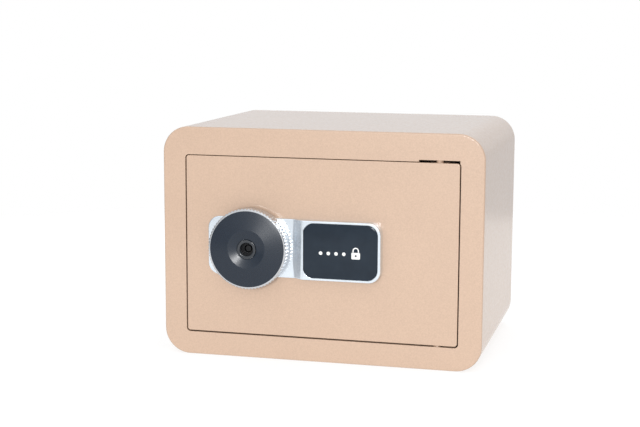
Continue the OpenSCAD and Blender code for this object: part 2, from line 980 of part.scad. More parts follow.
module solenoid_frame() {
    half_w = 12;
    top = coil_frame_z + coil_frame_h;
    reach = plunger_in + 7.5;
    color("silver")
        difference() {
            union() {
                block(knob_x - half_w, knob_x + half_w, floor_in, floor_in + 1.2, coil_frame_z, top);
                for (z0 = [coil_frame_z, top - 1.5])
                    block(knob_x - half_w, knob_x + half_w, floor_in, reach, z0, z0 + 1.5);
            }
            translate([knob_x, plunger_y, coil_frame_z - 1])
                cylinder(r = plunger_r + 0.08, h = 5);
        }
}

module solenoid_coil() {
    color("darkorange")
        translate([knob_x, plunger_y, coil_frame_z + 1.5])
            ring(plunger_r + 0.2, 6.2, 0, coil_frame_h - 3);
}

module solenoid_plunger() {
    color("gray")
        translate([knob_x, plunger_y, 0]) {
            translate([0, 0, plunger_tip])
                cylinder(r = plunger_r, h = 26);
            translate([0, 0, collar_z])
                cylinder(r = 5, h = 1);
        }
}

// Angle strip that hangs from the plunger's collar and reaches down to the tail cam
module release_link() {
    tab_t = 1.2;
    color("silver")
        difference() {
            union() {
                block(knob_x - 4, knob_x + 4, plunger_in - 5, cam_in + cam_t, collar_z - tab_t, collar_z);
                block(knob_x - 4, knob_x + 4, cam_in + 0.2, cam_in + cam_t, link_low, collar_z);
            }
            translate([knob_x, plunger_y, collar_z - 5])
                cylinder(r = plunger_r + fit, h = 10);
        }
}

module plunger_spring() {
    wire_r = 0.35;
    turns = 3.5;
    steps_per_turn = 12;
    low = collar_z + 1 + wire_r;
    high = coil_frame_z - wire_r;
    steps = turns * steps_per_turn;
    path = [for (i = [0:steps])
        [knob_x + 4.2 * cos(360 * i / steps_per_turn), plunger_y + 4.2 * sin(360 * i / steps_per_turn),
            low + (high - low) * i / steps]];
    color("silver")
        wire(path, wire_r);
}

// Two-core lead from the solenoid to the control board
module solenoid_lead() {
    out_z = coil_frame_z + coil_frame_h - 6;
    depth = front_y + 14;
    path = [
        [knob_x + 6.4, plunger_y, out_z], [knob_x + 10, plunger_y, out_z], [knob_x + 16, depth, out_z + 1],
        [knob_x + 24, depth, out_z + 2], [knob_x + 34, depth, out_z + 1], [knob_x + 44, depth, out_z - 1],
        [knob_x + 54, depth, out_z - 4], [knob_x + 62, depth, out_z - 9], [knob_x + 68, depth, out_z - 16],
        [knob_x + 71, depth, out_z - 26], [knob_x + 72, depth, out_z - 38],
        [knob_x + 72.5, depth, out_z - 48], [knob_x + 74.1, depth, out_z - 54.5]
    ];
    color("red")
        wire(path, 0.8);
}

// Battery compartment --------------------------------------------------------------------------------

module battery_tray() {
    wall = 1.2;
    color("black")
        difference() {
            block(tray_x[0], tray_x[1], tray_in, cover_in - 5, tray_z[0], tray_z[1]);
            block(tray_x[0] + wall, tray_x[1] - wall, tray_in + wall, cover_in, tray_z[0] + wall,
                tray_z[1] - wall);
        }
}

module battery_cells() {
    color("goldenrod")
        for (i = [0:3])
            translate([cell_x - cell_l / 2, front_y + tray_in + 1.4 + cell_r, cell_z[i]])
                rotate([0, 90, 0]) {
                    cylinder(r = cell_r, h = cell_l - 1.5);
                    translate([0, 0, i % 2 ? -0.8 : cell_l - 2])
                        cylinder(r = 2.7, h = i % 2 ? 1.2 : 1.4);
                }
}

module battery_contacts() {
    color("silver")
        for (x = [tray_x[0] + 1.3, tray_x[1] - 1.7], z = cell_z)
            block(x, x + 0.4, tray_in + 2, tray_in + 13, z - 5, z + 5);
}

// Two-core lead from the battery tray to the control board
module battery_lead() {
    x = tray_x[0];
    path = [
        [x - 0.1, front_y + 20, tray_z[1] - 8], [x - 4, front_y + 20, tray_z[1] - 8],
        [x - 9, front_y + 19, tray_z[1] - 5], [x - 13, front_y + 17, tray_z[1] + 2],
        [x - 15, front_y + 15, tray_z[1] + 12], [x - 15, front_y + 13.5, tray_z[1] + 19],
        [x - 14.6, front_y + 13, knob_z + 17.9]
    ];
    color("red")
        wire(path, 0.9);
}

module battery_lid() {
    trunnion_l = 2.6;
    finger_z = tray_z[1] - 10;
    color("gainsboro")
        difference() {
            union() {
                block(tray_x[0], tray_x[1], cover_in, cover_in + cover_t, lid_axis_z, tray_z[1] - lid_gap);
                translate([tray_x[0], lid_axis_y, lid_axis_z])
                    rotate([0, 90, 0])
                        cylinder(r = lid_barrel_r, h = tray_x[1] - tray_x[0]);
                translate([tray_x[0] - lid_gap - trunnion_l, lid_axis_y, lid_axis_z])
                    rotate([0, 90, 0])
                        cylinder(r = trunnion_r, h = tray_x[1] - tray_x[0] + 2 * (lid_gap + trunnion_l));
            }
            block(cell_x - 9, cell_x + 9, cover_in + 0.7, cover_in + 3, finger_z, finger_z + 5);
        }
}

cabinet_shell();
front_frame();
back_panel();
door_jamb();
bolt_keeper();
upper_hinge_lug();
lower_hinge_lug();
hinge_bushes();
floor_carpet();
door_plate();
door_pan();
inner_cover();
cover_screws();
hinge_blocks();
hinge_pins();
hinge_spacers();
escutcheon();
escutcheon_nuts();
touch_panel();
keypad_board();
keypad_ribbon();
control_board();
board_standoffs();
board_parts();
reset_switch();
spindle_bush();
guide_posts();
cylinder_bracket();
bracket_screws();
lock_cylinder();
cylinder_nut();
bolt_bushes();
solenoid_frame();
solenoid_coil();
solenoid_lead();
plunger_spring();
battery_tray();
battery_contacts();
battery_cells();
battery_lead();
knob_rim();
knob_core();
knob_face();
knob_trim_ring();
knob_spindle();
knob_grub_screw();
spindle_circlip();
cam_disc();
crank_pin();
bolt_carriage();
locking_bolts();
bolt_screws();
key_plug();
tail_cam();
tail_screw();
solenoid_plunger();
release_link();
reset_button();
battery_lid();
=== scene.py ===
"""Looks of a small in-room safe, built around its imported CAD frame.

Lengths are in millimetres unless a comment says otherwise, and MM turns them into Blender's metres. Depths
count along +Y, from the door at the front to the rear. Positions come from the frame's own boxes.
"""
import json
import math

import bmesh
import bpy
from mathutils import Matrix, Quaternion, Vector
from mathutils.geometry import tessellate_polygon


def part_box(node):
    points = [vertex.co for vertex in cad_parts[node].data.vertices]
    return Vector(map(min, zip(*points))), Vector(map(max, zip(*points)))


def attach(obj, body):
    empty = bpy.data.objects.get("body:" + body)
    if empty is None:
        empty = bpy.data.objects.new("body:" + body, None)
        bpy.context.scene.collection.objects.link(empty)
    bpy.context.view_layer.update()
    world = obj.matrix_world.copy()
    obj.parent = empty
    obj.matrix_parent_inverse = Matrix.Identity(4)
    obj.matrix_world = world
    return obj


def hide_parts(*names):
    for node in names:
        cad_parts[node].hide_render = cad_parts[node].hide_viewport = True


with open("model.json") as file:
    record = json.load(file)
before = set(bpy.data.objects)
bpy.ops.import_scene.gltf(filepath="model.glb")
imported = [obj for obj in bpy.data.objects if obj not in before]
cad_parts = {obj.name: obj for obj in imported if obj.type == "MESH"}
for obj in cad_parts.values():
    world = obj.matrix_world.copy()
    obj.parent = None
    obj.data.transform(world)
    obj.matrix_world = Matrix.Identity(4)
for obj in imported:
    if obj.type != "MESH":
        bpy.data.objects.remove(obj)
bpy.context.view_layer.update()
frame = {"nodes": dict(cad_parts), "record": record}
nodes = frame["nodes"]
MM = 0.001
TAU = 2 * math.pi


# Camera ---------------------------------------------------------------------------------------------

# The aim and the distance are in metres, and the angles are in degrees.
LENS = 78.6
AIM = Vector((0.0005, -0.125, 0.1616))
AZIMUTH = 14.58
ELEVATION = 8.51
DISTANCE = 1.4776
ROLL = 0.25


def direction(azimuth, elevation):
    """Unit vector from the object to a viewer. Azimuth 0 is in front of the door, 90 is on its right."""
    a = math.radians(azimuth)
    e = math.radians(elevation)
    return Vector((math.sin(a) * math.cos(e), -math.cos(a) * math.cos(e), math.sin(e)))


def look_from(obj, target, azimuth, elevation, distance):
    """Puts a camera or light at a distance from the target, pointing at it."""
    back = direction(azimuth, elevation)
    obj.location = target + back * distance
    obj.rotation_mode = "QUATERNION"
    obj.rotation_quaternion = (-back).to_track_quat("-Z", "Y")


def add_camera():
    data = bpy.data.cameras.new("camera")
    data.lens = LENS
    data.sensor_width = 36
    camera = bpy.data.objects.new("camera", data)
    bpy.context.scene.collection.objects.link(camera)
    look_from(camera, AIM, AZIMUTH, ELEVATION, DISTANCE)
    camera.rotation_quaternion @= Quaternion((0, 0, 1), math.radians(ROLL))
    bpy.context.scene.camera = camera


# Sizes, from the frame ------------------------------------------------------------------------------

def box_of(node):
    """Lowest and highest corner of a CAD node at rest, in millimetres."""
    low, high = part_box(node)
    return Vector(low) / MM, Vector(high) / MM


cabinet_low, cabinet_high = box_of("cabinet_shell")
back_low, back_high = box_of("back_panel")
jamb_low, jamb_high = box_of("door_jamb")
door_low, door_high = box_of("door_plate")
plate_low, plate_high = box_of("escutcheon")
panel_low, panel_high = box_of("touch_panel")
rim_low, rim_high = box_of("knob_rim")
face_low, face_high = box_of("knob_face")

front_y = box_of("front_frame")[0].y
rear_y = back_high.y
sheet = 2
corner_r = 28
outer_edge = 1.8
opening_x = jamb_high.x - sheet
opening_low = jamb_low.z + sheet
opening_top = jamb_high.z - sheet
knob_x = (rim_low.x + rim_high.x) / 2
knob_z = (rim_low.z + rim_high.z) / 2
rim_r = (rim_high.x - rim_low.x) / 2
face_r = (face_high.x - face_low.x) / 2
panel_x = (panel_low.x + panel_high.x) / 2
panel_r = 11.2


# Outlines, as lists of (x, z) ----------------------------------------------------------------------

def arc(x, z, radius, start, end, steps):
    """Points along an arc about (x, z), from one angle to another in degrees, both ends included."""
    angles = [math.radians(start + (end - start) * k / steps) for k in range(steps + 1)]
    return [(x + radius * math.cos(a), z + radius * math.sin(a)) for a in angles]


def rounded(x0, x1, z0, z1, radius, steps=12):
    """A rounded rectangle, anticlockwise from its lower left corner as seen from the front."""
    left, right, low, high = x0 + radius, x1 - radius, z0 + radius, z1 - radius
    return (arc(left, low, radius, 180, 270, steps) + arc(right, low, radius, 270, 360, steps)
            + arc(right, high, radius, 0, 90, steps) + arc(left, high, radius, 90, 180, steps))


def circle(x, z, radius, steps=48):
    return arc(x, z, radius, 0, 360 - 360 / steps, steps - 1)


def offset(outline, distance):
    """The outline moved sideways: inwards for a positive distance, outwards for a negative one."""
    moved = []
    for i, here in enumerate(outline):
        before = Vector(here) - Vector(outline[i - 1])
        after = Vector(outline[(i + 1) % len(outline)]) - Vector(here)
        before.normalize()
        after.normalize()
        left_before = Vector((-before.y, before.x))
        left_after = Vector((-after.y, after.x))
        miter = (left_before + left_after) / (1 + left_before.dot(left_after))
        moved.append((here[0] + miter.x * distance, here[1] + miter.y * distance))
    return moved


def soft_corner(t, slope_before, slope_after, half_width):
    """Height of a bend at t = 0 between two slopes, rounded over half_width on each side."""
    if t <= -half_width:
        return slope_before * t
    if t >= half_width:
        return slope_after * t
    return slope_before * t + (slope_after - slope_before) * (t + half_width) ** 2 / (4 * half_width)


# Mesh building --------------------------------------------------------------------------------------

class Form:
    """Rings of points, in millimetres, and the faces between them."""

    def __init__(self):
        self.points = []
        self.faces = []

    def ring(self, outline, depth):
        """Adds the outline at a depth, or at the depth that a function of (x, z) gives."""
        first = len(self.points)
        for x, z in outline:
            self.points.append((x, depth(x, z) if callable(depth) else depth, z))
        return list(range(first, len(self.points)))

    def bridge(self, *rings):
        """Walls between each ring and the next."""
        for a, b in zip(rings, rings[1:]):
            for i in range(len(a)):
                j = (i + 1) % len(a)
                self.faces.append((a[i], a[j], b[j], b[i]))

    def fill(self, *rings):
        """A flat face bounded by the first ring, with the others as holes in it."""
        flat = [[Vector((self.points[i][0], self.points[i][2], 0)) for i in ring] for ring in rings]
        index = [i for ring in rings for i in ring]
        for corners in tessellate_polygon(flat):
            self.faces.append(tuple(index[k] for k in corners))

    def piece(self, name, body, slot, replaced=(), smooth=35, weighted=True):
        """Makes the Blender object, which rides on a body and stands for the replaced CAD nodes."""
        mesh = bpy.data.meshes.new(name)
        mesh.from_pydata([[c * MM for c in p] for p in self.points], [], self.faces)
        shape = bmesh.new()
        shape.from_mesh(mesh)
        bmesh.ops.remove_doubles(shape, verts=shape.verts, dist=1e-7)
        bmesh.ops.recalc_face_normals(shape, faces=shape.faces)
        for face in shape.faces:
            face.smooth = True
        shape.to_mesh(mesh)
        shape.free()
        mesh.set_sharp_from_angle(angle=math.radians(smooth))
        obj = bpy.data.objects.new(name, mesh)
        bpy.context.scene.collection.objects.link(obj)
        if weighted:
            normals = obj.modifiers.new("normals", "WEIGHTED_NORMAL")
            normals.keep_sharp = True
        mesh.materials.append(materials[slot])
        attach(obj, body)
        if replaced:
            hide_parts(*replaced)
        return obj


def rounding(form, outline, face, back, radius, steps=6):
    """Rings from depth back to depth face, rounded where they reach the face."""
    away = 1 if back > face else -1
    rings = [form.ring(outline, back)]
    for k in range(steps + 1):
        a = math.pi / 2 * k / steps
        rings.append(form.ring(offset(outline, radius * (1 - math.cos(a))),
                               face + away * abs(radius) * (1 - math.sin(a))))
    form.bridge(*rings)
    return rings


def sheet_plate(outline, holes, face, back, edge, hole_edge=0.4):
    """A flat plate with rounded edges at its face. A negative rounding opens a hole outwards."""
    form = Form()
    outer = rounding(form, outline, face, back, edge)
    inner = [rounding(form, hole, face, back, -hole_edge, 3) for hole in holes]
    form.fill(outer[-1], *[rings[-1] for rings in inner])
    form.fill(outer[0], *[rings[0] for rings in inner])
    return form


def turned(profile, samples, cut=None):
    """A solid of revolution on the knob's axis. profile holds (radius, height above the door's face)."""
    form = Form()
    rings = []
    for radius, height in profile:
        outline = []
        for k in range(samples):
            a = TAU * k / samples
            r = min(radius, cut(a, height)) if cut else radius
            outline.append((knob_x + r * math.cos(a), knob_z + r * math.sin(a)))
        rings.append(form.ring(outline, front_y - height))
    form.bridge(*rings, rings[0])
    return form


# Cabinet --------------------------------------------------------------------------------------------

anchor_r = 5
back_anchors_x = (-80, 80)
floor_anchors = [(x, y) for x in (-110, 110) for y in (-60, 60)]
opening_corner = 4
notch_w = 43
notch_h = 2


def cabinet_outline():
    return rounded(cabinet_low.x, cabinet_high.x, cabinet_low.z, cabinet_high.z, corner_r, 16)


def opening_outline():
    """The door opening, with the clearance notch of the upper hinge."""
    corner = opening_corner
    notch_right = door_high.x
    notch_left = notch_right - notch_w
    notch_top = opening_top + notch_h
    right = opening_x - corner
    high = opening_top - corner
    meets = math.degrees(math.acos((notch_right - right) / corner))
    return (arc(-right, opening_low + corner, corner, 180, 270, 6)
            + arc(right, opening_low + corner, corner, 270, 360, 6)
            + arc(right, high, corner, 0, meets, 4)
            + [(notch_right, notch_top), (notch_left, notch_top), (notch_left, opening_top)]
            + arc(-right, high, corner, 90, 180, 6))


def build_cabinet():
    front = sheet_plate(cabinet_outline(), [opening_outline()], front_y, front_y + sheet, outer_edge, 0.3)
    front.piece("front_frame_skin", "cabinet", "cabinet_paint", ["front_frame"])

    anchors = [circle(x, (back_low.z + back_high.z) / 2, anchor_r) for x in back_anchors_x]
    back = sheet_plate(cabinet_outline(), anchors, rear_y, rear_y - sheet, outer_edge, 0.3)
    back.piece("back_panel_skin", "cabinet", "cabinet_paint", ["back_panel"])

    shell = Form()
    inside = rounded(cabinet_low.x + sheet, cabinet_high.x - sheet, cabinet_low.z + sheet,
                     cabinet_high.z - sheet, corner_r - sheet, 16)
    depths = (front_y + sheet, rear_y - sheet)
    outer = [shell.ring(cabinet_outline(), y) for y in depths]
    inner = [shell.ring(inside, y) for y in depths]
    shell.bridge(outer[0], outer[1], inner[1], inner[0], outer[0])
    wrap = shell.piece("cabinet_shell_skin", "cabinet", "cabinet_paint", ["cabinet_shell"])
    for x, y in floor_anchors:
        drill(wrap, x, y, sheet / 2, anchor_r)


def drill(obj, x, y, z, radius):
    """Cuts an upright round hole and applies the cut to the mesh."""
    bpy.ops.mesh.primitive_cylinder_add(vertices=48, radius=radius * MM, depth=20 * MM,
                                        location=(x * MM, y * MM, z * MM))
    tool = bpy.context.object
    cut = obj.modifiers.new("cut", "BOOLEAN")
    cut.operation = "DIFFERENCE"
    cut.solver = "EXACT"
    cut.object = tool
    obj.modifiers.move(len(obj.modifiers) - 1, 0)
    bpy.context.view_layer.update()
    with bpy.context.temp_override(object=obj, active_object=obj):
        bpy.ops.object.modifier_apply(modifier="cut")
    bpy.data.objects.remove(tool)


# Door -----------------------------------------------------------------------------------------------

door_corner = 3
door_edge = 0.8
bearing_hole_r = 13.1
ribbon_hole_r = 8
stud_hole_r = 2.2
stud_x = (knob_x - 37, plate_high.x - 6)
stud_rise = (-22, 22)


def build_door():
    outline = rounded(door_low.x, door_high.x, door_low.z, door_high.z, door_corner, 8)
    holes = [circle(knob_x, knob_z, bearing_hole_r), circle(panel_x, knob_z, ribbon_hole_r)]
    holes += [circle(x, knob_z + rise, stud_hole_r, 24) for x in stud_x for rise in stud_rise]
    door = sheet_plate(outline, holes, front_y, door_high.y, door_edge)
    door.piece("door_plate_skin", "door", "cabinet_paint", ["door_plate"])


# Lock plate and touch panel -------------------------------------------------------------------------

plate_r = 13
plate_edge = 1.2
low_height = 4
high_height = front_y - plate_low.y
ramp_left = knob_x + 48
ramp_right = knob_x + 58
ramp_soft = 1.8
plate_steps = 12
knob_bore_r = 15.5
panel_gap = 0.3


def plate_height(x):
    """Height of the lock plate above the door: low on the left, then a ramp, then the raised part."""
    slope = (high_height - low_height) / (ramp_right - ramp_left)
    if x < (ramp_left + ramp_right) / 2:
        return low_height + soft_corner(x - ramp_left, 0, slope, ramp_soft)
    return high_height + soft_corner(x - ramp_right, slope, 0, ramp_soft)


def plate_columns():
    """Where the ramp needs points, from left to right."""
    spread = [-1, -0.6, -0.2, 0.2, 0.6, 1]
    bends = [bend + ramp_soft * s for bend in (ramp_left, ramp_right) for s in spread]
    return sorted(bends)


def plate_outline(inset):
    """Lock plate outline whose upper and lower points face each other, so that columns can join them."""
    steps = plate_steps
    r = plate_r - inset
    left, right = plate_low.x + plate_r, plate_high.x - plate_r
    low, high = plate_low.z + plate_r, plate_high.z - plate_r
    columns = plate_columns()
    return (arc(left, low, r, 180, 270, steps) + [(x, low - r) for x in columns]
            + arc(right, low, r, 270, 360, steps) + arc(right, high, r, 0, 90, steps)
            + [(x, high + r) for x in reversed(columns)] + arc(left, high, r, 90, 180, steps))


def build_lock_plate():
    form = Form()
    rings = [form.ring(plate_outline(0), front_y)]
    steps = 6
    for k in range(steps + 1):
        a = math.pi / 2 * k / steps
        sink = plate_edge * (1 - math.sin(a))
        rings.append(form.ring(plate_outline(plate_edge * (1 - math.cos(a))),
                               lambda x, z, sink=sink: front_y - plate_height(x) + sink))
    form.bridge(*rings)
    top = rings[-1]
    last = len(top) - 1
    first_column = plate_steps + 1
    count = len(plate_columns())
    for i in range(first_column, first_column + count - 1):
        form.faces.append((top[i], top[i + 1], top[last - i - 1], top[last - i]))
    low_ring = top[: first_column + 1] + top[last - first_column:]
    right = first_column + count - 1
    high_ring = top[right: last - right + 1]

    bore = rounding(form, circle(knob_x, knob_z, knob_bore_r, 64), front_y - low_height, front_y, -0.3, 2)
    form.fill(low_ring, bore[-1])

    gap = panel_gap
    mouth = rounded(panel_low.x - gap, panel_high.x + gap, panel_low.z - gap, panel_high.z + gap,
                    panel_r + gap, 16)
    recess = rounding(form, mouth, front_y - high_height, panel_high.y, -0.35, 4)
    form.fill(high_ring, recess[-1])
    form.fill(recess[0])
    form.fill(rings[0], bore[0])
    form.piece("lock_plate_skin", "door", "satin_silver", ["escutcheon"])


def build_touch_panel():
    outline = rounded(panel_low.x, panel_high.x, panel_low.z, panel_high.z, panel_r, 16)
    form = Form()
    rings = [form.ring(outline, panel_high.y)]
    edge, drop, steps = 1.6, 0.7, 8
    for k in range(steps + 1):
        a = math.pi / 2 * k / steps
        rings.append(form.ring(offset(outline, edge * (1 - math.cos(a))),
                               panel_low.y + drop * (1 - math.sin(a))))
    form.bridge(*rings)
    form.fill(rings[-1])
    form.fill(rings[0])
    form.piece("touch_panel_skin", "door", "panel_black", ["touch_panel"])


def build_marks():
    """Generic marks printed on the touch panel: four dots and a padlock."""
    ink = 0.04
    form = Form()

    def stamp(outline, *holes):
        rings = []
        for shape in (outline, *holes):
            pair = [form.ring(shape, panel_low.y + side * ink) for side in (1, -1)]
            form.bridge(*pair)
            rings.append(pair)
        for side in (0, 1):
            form.fill(*[pair[side] for pair in rings])

    dot_r, dot_pitch = 1.9, 8.4
    for k in range(4):
        stamp(circle(panel_x - 21 + dot_pitch * k, knob_z - 1.5, dot_r, 24))

    lock_x, lock_z = panel_x + 17, knob_z - 2
    body_half, keyhole_r = 4.6, 1.1
    stamp(rounded(lock_x - body_half, lock_x + body_half, lock_z - 4.4, lock_z + 2.6, 0.9, 4),
          circle(lock_x, lock_z - 0.8, keyhole_r, 16))

    bow_z, foot_z = lock_z + 4.6, lock_z + 2.9
    outer_r, inner_r = 3.4, 2.3
    stamp([(lock_x + inner_r, foot_z), (lock_x + outer_r, foot_z)]
          + arc(lock_x, bow_z, outer_r, 0, 180, 12)
          + [(lock_x - outer_r, foot_z), (lock_x - inner_r, foot_z)]
          + arc(lock_x, bow_z, inner_r, 180, 0, 12))
    form.piece("panel_marks", "door", "nylon_white", weighted=False)


# Knob -----------------------------------------------------------------------------------------------

# Heights are above the door's face.
rib_count = 72
flute_r = 1.0
flute_out = 0.15
flute_start = 7.8
flute_runout = 2.4
rim_base = 4.4
rim_top = 18.6
chamfer_start = 17.2
crest_r, crest_h, crest_soft = 20.5, 22.2, 0.9
crater_r, crater_h = 10.6, 19.6
face_edge_h = 18.85
face_back = 15.9
seat_r, seat_h = face_r - 1.6, 18.7


def flute_limit(a, height):
    """Radius that the flutes leave in the rim at an angle and a height."""
    if height < flute_start:
        return rim_r
    depth = min(1, (height - flute_start) / flute_runout)
    pitch = TAU / rib_count
    across = rim_r * math.sin((a + pitch / 2) % pitch - pitch / 2)
    if abs(across) >= flute_r:
        return rim_r
    return rim_r - depth * max(0, math.sqrt(flute_r ** 2 - across ** 2) - flute_out)


def build_rim():
    inner_r = face_r - 1.4
    base_round = [(0.8, 0), (0.24, 0.24), (0, 0.8)]
    straight = [flute_start, 9, 10.2, chamfer_start]
    chamfer = [(0.3, 17.45), (0.6, 17.7), (0.7, 17.79), (1.1, 18.12), (1.55, 18.48), (1.75, rim_top)]
    profile = ([(inner_r, rim_base)] + [(rim_r - inset, rim_base + rise) for inset, rise in base_round]
               + [(rim_r, height) for height in straight]
               + [(rim_r - inset, height) for inset, height in chamfer] + [(inner_r, rim_top)])
    form = turned(profile, rib_count * 10, flute_limit)
    form.piece("knob_rim_skin", "knob", "rim_silver", ["knob_rim"], 40)


def build_face():
    """The black face: a low cone up to a crest, with a crater inside it."""
    outer_slope = (face_edge_h - crest_h) / (face_r - crest_r)
    inner_slope = (crest_h - crater_h) / (crest_r - crater_r)
    profile = [(crater_r, face_back), (seat_r - 0.2, face_back), (seat_r, face_back + 0.9),
               (seat_r, seat_h), (face_r - 0.3, seat_h), (face_r - 0.05, seat_h + 0.06)]
    for r in (face_r - 0.4, 36, 32, 28, 24):
        profile.append((r, crest_h + outer_slope * (r - crest_r)))
    for k in range(7):
        t = crest_soft * (1 - k / 3)
        profile.append((crest_r + t, crest_h + soft_corner(t, inner_slope, outer_slope, crest_soft)))
    for r in (17, 14, 11.2):
        profile.append((r, crest_h + inner_slope * (r - crest_r)))
    profile += [(crater_r + 0.25, crater_h + 0.02), (crater_r, crater_h - 0.15)]
    turned(profile, 192).piece("knob_face_skin", "knob", "face_black", ["knob_face"], 40)


def build_trim_ring():
    profile = [(7.2, 17.1), (10.3, 17.1), (10.3, 20.0), (10.2, 20.2), (9.95, 20.36), (9.6, 20.4),
               (8.2, 20.35), (7.7, 20.2), (7.35, 19.9), (7.2, 19.5)]
    turned(profile, 128).piece("knob_trim_skin", "knob", "trim_grey", ["knob_trim_ring"], 60)


# Materials ------------------------------------------------------------------------------------------

def add_node(tree, kind, inputs=None, **settings):
    """Adds a node. Each input is a socket to link from, or a value."""
    node = tree.nodes.new(kind)
    for key, value in settings.items():
        setattr(node, key, value)
    for key, value in (inputs or {}).items():
        if isinstance(value, bpy.types.NodeSocket):
            tree.links.new(value, node.inputs[key])
        else:
            node.inputs[key].default_value = value
    return node


def mix_colours(tree, factor, first, second):
    """Goes from the first colour to the second as the factor rises from 0 to 1."""
    mix = tree.nodes.new("ShaderNodeMix")
    mix.data_type = "RGBA"
    for socket, value in (("Factor_Float", factor), ("A_Color", first), ("B_Color", second)):
        target = next(s for s in mix.inputs if s.identifier == socket)
        if isinstance(value, bpy.types.NodeSocket):
            tree.links.new(value, target)
        else:
            target.default_value = (*value, 1)
    return next(s for s in mix.outputs if s.identifier == "Result_Color")


class Shader:
    """A Principled material whose colour, roughness and bump come from procedural nodes."""

    def __init__(self, name, **constants):
        plain = bpy.data.materials.get(name)
        if plain:
            bpy.data.materials.remove(plain)
        self.material = bpy.data.materials.new(name)
        self.material.use_nodes = True
        self.tree = self.material.node_tree
        self.surface = self.tree.nodes["Principled BSDF"]
        self.place = self.add("ShaderNodeTexCoord").outputs["Object"]
        for socket, value in constants.items():
            self.surface.inputs[socket.replace("_", " ")].default_value = value

    def add(self, kind, inputs=None, **settings):
        return add_node(self.tree, kind, inputs, **settings)

    def noise(self, size, detail=2.0, stretch=(1, 1, 1), seed=0.0):
        """Noise whose features are about size millimetres across."""
        place = self.add("ShaderNodeMapping", {"Vector": self.place, "Scale": stretch,
                                               "Location": (seed, seed, seed)}).outputs[0]
        scale = 1 / (size * MM)
        return self.add("ShaderNodeTexNoise", {"Vector": place, "Scale": scale, "Detail": detail,
                                               "Roughness": 0.5}).outputs[0]

    def span(self, value, low, high, start=0.3, end=0.7):
        """The value's range from start to end, spread over low to high."""
        return self.add("ShaderNodeMapRange", {"Value": value, "From Min": start, "From Max": end,
                                               "To Min": low, "To Max": high}).outputs[0]

    def blend(self, factor, first, second):
        return mix_colours(self.tree, factor, first, second)

    def colour(self, value):
        self.tree.links.new(value, self.surface.inputs["Base Color"])

    def roughness(self, value):
        self.tree.links.new(value, self.surface.inputs["Roughness"])

    def bump(self, *layers):
        """Bump layers, each (height value, depth in millimetres)."""
        normal = None
        for height, depth in layers:
            inputs = {"Height": height, "Distance": depth * MM, "Strength": 1.0}
            if normal is not None:
                inputs["Normal"] = normal
            normal = self.add("ShaderNodeBump", inputs).outputs[0]
        self.tree.links.new(normal, self.surface.inputs["Normal"])


def shade(colour, factor):
    return tuple(c * factor for c in colour)


def powder_coat(name, colour):
    """Satin powder coat: shallow orange peel, with a fine mottle in its colour."""
    s = Shader(name, IOR=1.5, Coat_Weight=0.7, Coat_Roughness=0.16, Coat_IOR=1.5)
    mottle = s.span(s.noise(1.4, 3), 0, 1)
    drift = s.span(s.noise(60, 2), 0, 1)
    fine = s.blend(mottle, shade(colour, 0.93), shade(colour, 1.06))
    s.colour(s.blend(drift, fine, s.blend(mottle, shade(colour, 0.96), shade(colour, 1.09))))
    s.roughness(s.span(s.noise(3, 2, seed=0.4), 0.36, 0.5))
    s.bump((s.noise(2.4, 2, seed=0.2), 0.035), (s.noise(0.7, 2), 0.012))
    return s.material


def plated(name, colour, low, high, grain, depth, stretch=(1, 1, 1)):
    """Plated or bare metal with a fine grain, which stretch can draw out into brush marks."""
    s = Shader(name, Metallic=1.0)
    cloud = s.span(s.noise(25, 3), 0, 1)
    s.colour(s.blend(cloud, shade(colour, 0.93), shade(colour, 1.03)))
    s.roughness(s.span(s.noise(grain * 3, 3, stretch), low, high))
    s.bump((s.noise(grain, 2, stretch), depth))
    return s.material


def moulded(name, colour, low, high, grain, depth, **constants):
    """Moulded plastic with a fine spark-eroded grain."""
    s = Shader(name, **constants)
    cloud = s.span(s.noise(grain * 20, 2), 0, 1)
    s.colour(s.blend(cloud, shade(colour, 0.9), shade(colour, 1.1)))
    s.roughness(s.span(s.noise(grain * 2, 3), low, high))
    s.bump((s.noise(grain, 3), depth))
    return s.material


def knob_black():
    """Fine-grained satin black with a cool tint."""
    s = Shader("face_black", IOR=1.5)
    speck = s.span(s.noise(0.55, 2), 0, 1, 0.35, 0.65)
    s.colour(s.blend(speck, (0.002, 0.007, 0.017), (0.006, 0.014, 0.027)))
    s.roughness(s.span(s.noise(1.2, 2, seed=0.3), 0.25, 0.30))
    s.bump((s.noise(0.4, 2), 0.003))
    return s.material


def glass_black():
    """Polished panel, with the faint unevenness of a moulded window."""
    s = Shader("panel_black", IOR=1.4)
    cloud = s.span(s.noise(18, 2), 0, 1)
    s.colour(s.blend(cloud, (0.004, 0.011, 0.021), (0.008, 0.017, 0.029)))
    s.roughness(s.span(s.noise(6, 3), 0.07, 0.13))
    s.bump((s.noise(30, 1), 0.02))
    return s.material


def felt():
    s = Shader("carpet_felt", Sheen_Weight=0.6, Sheen_Roughness=0.5)
    fibres = s.span(s.noise(0.6, 6, (1, 3, 1)), 0, 1, 0.25, 0.75)
    s.colour(s.blend(fibres, (0.035, 0.036, 0.04), (0.11, 0.112, 0.12)))
    s.roughness(s.span(s.noise(2, 2), 0.85, 1.0))
    s.bump((fibres, 0.5), (s.noise(4, 3), 0.4))
    return s.material


